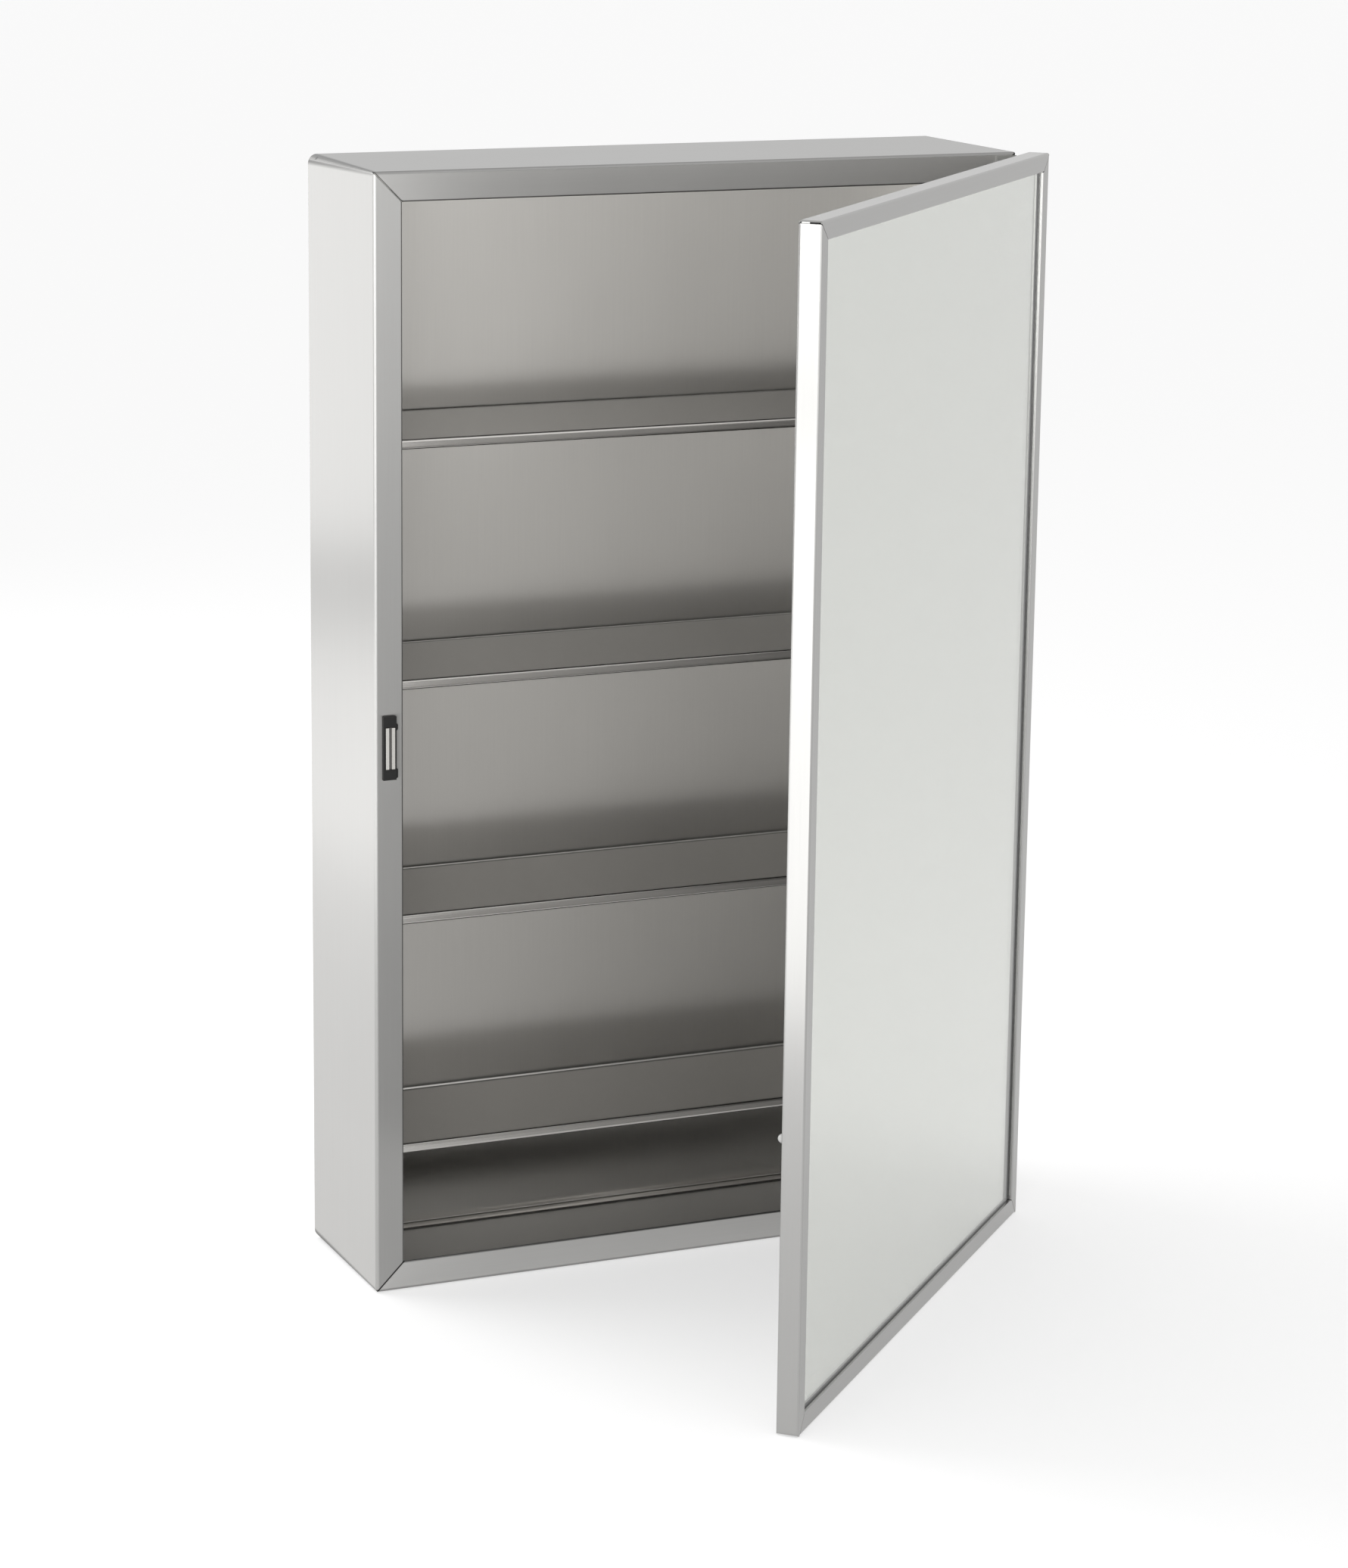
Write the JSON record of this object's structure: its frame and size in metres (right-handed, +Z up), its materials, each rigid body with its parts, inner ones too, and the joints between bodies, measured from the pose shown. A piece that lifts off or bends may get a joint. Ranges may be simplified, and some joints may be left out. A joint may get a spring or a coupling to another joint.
{
  "type": "medicine cabinet",
  "caption": "Shallow wall cabinet of folded steel sheet with fixed shelves, a full-length side hinge, a framed mirror door and a magnetic catch.",
  "frame": {"origin": "middle of the four wall holes, on the wall plane at the back of the cabinet", "axes": "+X to the right as one faces the cabinet, towards the hinge; +Y into the wall; +Z up"},
  "size_m": [0.423, 0.4105, 0.6604],
  "materials": {
    "cabinet_steel": "satin",
    "shelf_steel": "satin",
    "door_frame_steel": "satin",
    "hinge_steel": "dull",
    "bright_steel": "polished",
    "clear_glass": "polished",
    "silvering": "mirror",
    "pad_foam": "matt",
    "black_plastic": "matt",
    "white_plastic": "semi-gloss",
    "magnet": "matt"
  },
  "bodies": {
    "cabinet": {"cabinet_wrap": "cabinet_steel", "back_panel": "cabinet_steel", "shelf_1": "shelf_steel", "shelf_2": "shelf_steel", "shelf_3": "shelf_steel", "shelf_4": "shelf_steel", "hinge_cabinet_leaf": "hinge_steel", "hinge_pin": "bright_steel", "cabinet_leaf_rivets": "bright_steel", "catch_housing": "black_plastic"},
    "catch_pack": {"pole_plates": "bright_steel", "catch_magnet": "magnet"},
    "door": {"hinge_door_leaf": "hinge_steel", "door_leaf_rivets": "bright_steel", "top_rail": "door_frame_steel", "bottom_rail": "door_frame_steel", "hinge_stile": "door_frame_steel", "free_stile": "door_frame_steel", "mirror_glass": "clear_glass", "mirror_silvering": "silvering", "edge_fillers": "black_plastic", "mirror_pad": "pad_foam", "door_back_pan": "door_frame_steel", "corner_keys": "hinge_steel", "corner_rivets": "bright_steel", "strike_plate": "bright_steel", "strike_rivets": "bright_steel", "door_bumper": "white_plastic"}
  },
  "joints": [
    {"name": "door_hinge", "type": "hinge", "parent": "cabinet", "child": "door", "pos_m": [0.2058, -0.1106, 0], "axis": [0, 0, 1], "range_deg": [-45, 95]},
    {"name": "magnet_float", "type": "slide", "parent": "cabinet", "child": "catch_pack", "axis": [0, -1, 0], "range_m": [-0.0005, 0.0005]}
  ]
}
